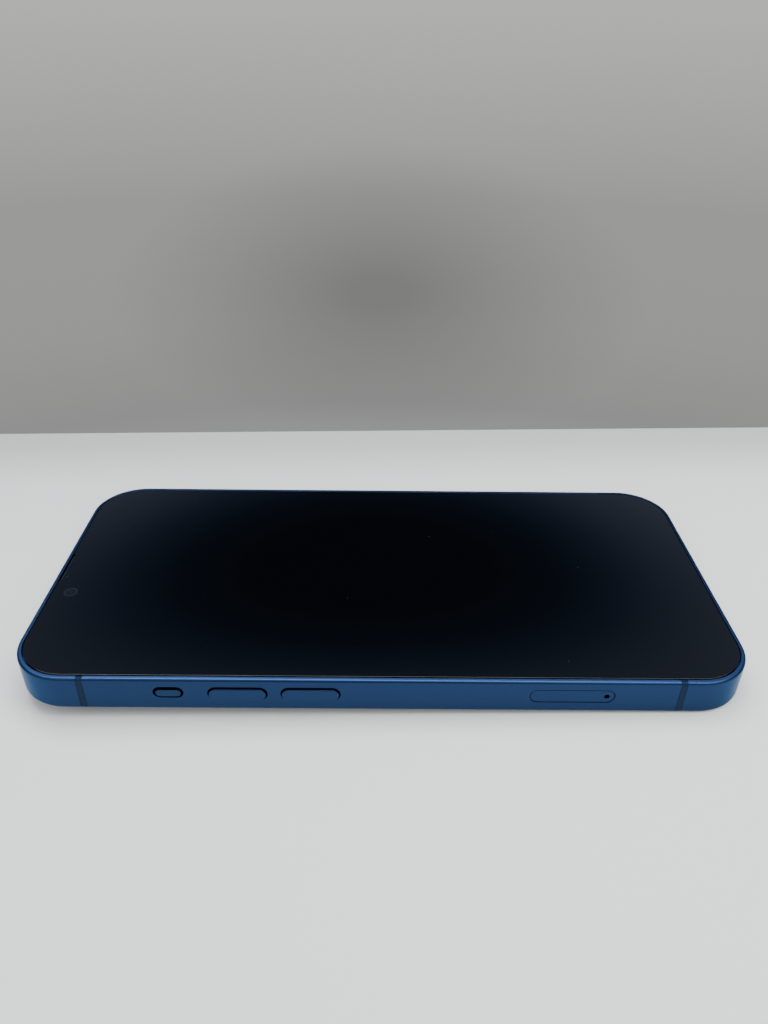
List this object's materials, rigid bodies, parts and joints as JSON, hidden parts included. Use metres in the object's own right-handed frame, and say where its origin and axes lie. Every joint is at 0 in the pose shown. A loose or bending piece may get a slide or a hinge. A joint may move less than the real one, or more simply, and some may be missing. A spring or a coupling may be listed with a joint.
{
  "type": "smartphone",
  "caption": "Flat-sided smartphone with a glass screen, a blue metal frame, side keys, a silent switch and a SIM tray.",
  "frame": {"origin": "middle of the phone's length and width, on the plane of the rear lens rings", "axes": "+X along the phone from the earpiece end to the charging port, +Y across it towards the side key, +Z out of the screen"},
  "size_m": [0.1466, 0.0724, 0.0102],
  "materials": {
    "blue_aluminium": "blasted and anodised blue",
    "antenna_plastic": "moulded dark blue-grey",
    "cover_glass": "polished, black behind",
    "rear_glass": "polished, blue behind",
    "plateau_glass": "satin blue",
    "lens_glass": "coated, dark",
    "flash_plastic": "clear over pale yellow",
    "display_stack": "black laminate",
    "gasket_foam": "black foam adhesive",
    "steel_sheet": "bare sheet",
    "dark_module": "black moulding",
    "grey_module": "grey housing",
    "board": "solder mask",
    "copper_coil": "enamelled wire",
    "battery_wrap": "black pouch",
    "card_plastic": "white card",
    "dark_mesh": "fine dark mesh",
    "gold_can": "gold plated can",
    "haptic_steel": "ground steel"
  },
  "bodies": {
    "phone": {"frame_left_rail": "blue_aluminium", "frame_right_rail": "blue_aluminium", "frame_top_cap": "blue_aluminium", "frame_bottom_cap": "blue_aluminium", "lens_ring_wide": "blue_aluminium", "lens_ring_ultrawide": "blue_aluminium", "bottom_screw_left": "blue_aluminium", "bottom_screw_right": "blue_aluminium", "antenna_band_top_left": "antenna_plastic", "antenna_band_top_right": "antenna_plastic", "antenna_band_bottom_left": "antenna_plastic", "antenna_band_bottom_right": "antenna_plastic", "cover_glass": "cover_glass", "rear_glass": "rear_glass", "camera_plateau": "plateau_glass", "lens_cover_wide": "lens_glass", "lens_cover_ultrawide": "lens_glass", "flash_lens": "flash_plastic", "display_panel": "display_stack", "display_gasket": "gasket_foam", "display_backplate": "steel_sheet", "midplate": "steel_sheet", "camera_bracket": "steel_sheet", "board_shield": "steel_sheet", "radio_shield": "steel_sheet", "volume_bracket": "steel_sheet", "sim_reader": "steel_sheet", "eject_pivot": "steel_sheet", "port_shell": "steel_sheet", "haptic_case": "steel_sheet", "haptic_lid": "steel_sheet", "front_camera": "dark_module", "proximity_sensor": "dark_module", "processor": "dark_module", "loudspeaker": "dark_module", "port_tongue": "dark_module", "silent_switch_base": "dark_module", "camera_module_wide": "grey_module", "camera_module_ultrawide": "grey_module", "earpiece_speaker": "grey_module", "volume_up_switch": "grey_module", "volume_down_switch": "grey_module", "side_switch": "grey_module", "main_board": "board", "charging_coil": "copper_coil", "battery": "battery_wrap", "earpiece_mesh": "dark_mesh", "speaker_mesh": "dark_mesh", "bottom_microphone": "gold_can"},
    "volume_up": {"volume_up_button": "blue_aluminium"},
    "volume_down": {"volume_down_button": "blue_aluminium"},
    "side_key": {"side_button": "blue_aluminium"},
    "switch_tab": {"silent_switch": "blue_aluminium"},
    "tray": {"sim_tray": "blue_aluminium", "sim_card": "card_plastic"},
    "ejector_rod": {"eject_rod": "steel_sheet"},
    "ejector_lever": {"eject_lever": "steel_sheet"},
    "vibrator": {"haptic_mass": "haptic_steel"},
    "wide_lens": {"lens_barrel_wide": "dark_module"},
    "ultrawide_lens": {"lens_barrel_ultrawide": "dark_module"}
  },
  "joints": [
    {"name": "volume_up_press", "type": "slide", "parent": "phone", "child": "volume_up", "axis": [0, 1, 0], "range_m": [0, 0.00025], "stiffness_N_per_m": 800},
    {"name": "volume_down_press", "type": "slide", "parent": "phone", "child": "volume_down", "axis": [0, 1, 0], "range_m": [0, 0.00025], "stiffness_N_per_m": 800},
    {"name": "side_key_press", "type": "slide", "parent": "phone", "child": "side_key", "axis": [0, -1, 0], "range_m": [0, 0.00025], "stiffness_N_per_m": 800},
    {"name": "silent_switch_slide", "type": "slide", "parent": "phone", "child": "switch_tab", "axis": [0, 0, 1], "range_m": [0, 0.0008]},
    {"name": "sim_tray_slide", "type": "slide", "parent": "phone", "child": "tray", "axis": [0, -1, 0], "range_m": [0, 0.018]},
    {"name": "eject_rod_slide", "type": "slide", "parent": "phone", "child": "ejector_rod", "axis": [0, 1, 0], "range_m": [0, 0.0015]},
    {"name": "eject_lever_swing", "type": "hinge", "parent": "phone", "child": "ejector_lever", "pos_m": [0.0378, -0.0155, 0.00655], "axis": [0, 0, 1], "range_deg": [0, 15.1]},
    {"name": "haptic_mass_slide", "type": "slide", "parent": "phone", "child": "vibrator", "axis": [0, 1, 0], "range_m": [-0.0008, 0.0008], "stiffness_N_per_m": 1700},
    {"name": "wide_focus_slide", "type": "slide", "parent": "phone", "child": "wide_lens", "axis": [0, 0, -1], "range_m": [0, 0.0003], "stiffness_N_per_m": 60, "springref_m": -0.0001},
    {"name": "ultrawide_focus_slide", "type": "slide", "parent": "phone", "child": "ultrawide_lens", "axis": [0, 0, -1], "range_m": [0, 0.0003], "stiffness_N_per_m": 60, "springref_m": -0.0001}
  ],
  "couplings": [
    {"joint": "eject_lever_swing", "follows": "eject_rod_slide", "rad_per_m": 175}
  ]
}
